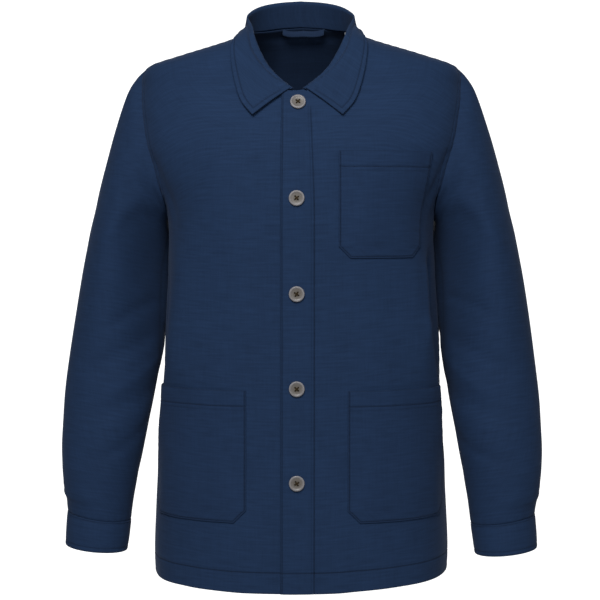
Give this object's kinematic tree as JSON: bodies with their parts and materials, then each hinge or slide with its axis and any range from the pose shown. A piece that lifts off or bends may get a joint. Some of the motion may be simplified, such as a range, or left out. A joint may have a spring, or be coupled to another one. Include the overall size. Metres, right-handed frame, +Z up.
{
  "type": "chore jacket",
  "caption": "Hip-length cotton chore jacket in its worn hollow form, buttoned, with a folded shirt collar, set-in sleeves with cuffs, and patch pockets.",
  "frame": {"origin": "middle of the neck, level with the highest points of the shoulders, where the wearer's shoulders or a hanger hold it", "axes": "+Z up; -Y the way the wearer faces, towards the buttons; +X the wearer's left"},
  "size_m": [0.642, 0.275, 0.7752],
  "materials": {
    "body_cloth": "matt navy cotton, fine even weave",
    "sleeve_cloth": "matt navy cotton, fine even weave",
    "collar_cloth": "matt navy cotton, fine even weave",
    "pocket_cloth": "matt navy cotton, fine even weave",
    "loop_tape": "navy cotton tape",
    "tab_tape": "pale woven tape, blank",
    "button_horn": "grey-brown horn look with a soft pearly shine"
  },
  "bodies": {
    "root": {"front_left": "body_cloth", "front_right": "body_cloth", "back": "body_cloth", "sleeve_left": "sleeve_cloth", "cuff_left": "sleeve_cloth", "sleeve_right": "sleeve_cloth", "cuff_right": "sleeve_cloth", "collar": "collar_cloth", "chest_pocket": "pocket_cloth", "lower_pocket_left": "pocket_cloth", "lower_pocket_right": "pocket_cloth", "hanger_loop": "loop_tape", "neck_tab": "tab_tape", "button_1": "button_horn", "button_2": "button_horn", "button_3": "button_horn", "button_4": "button_horn", "button_5": "button_horn"}
  },
  "joints": []
}
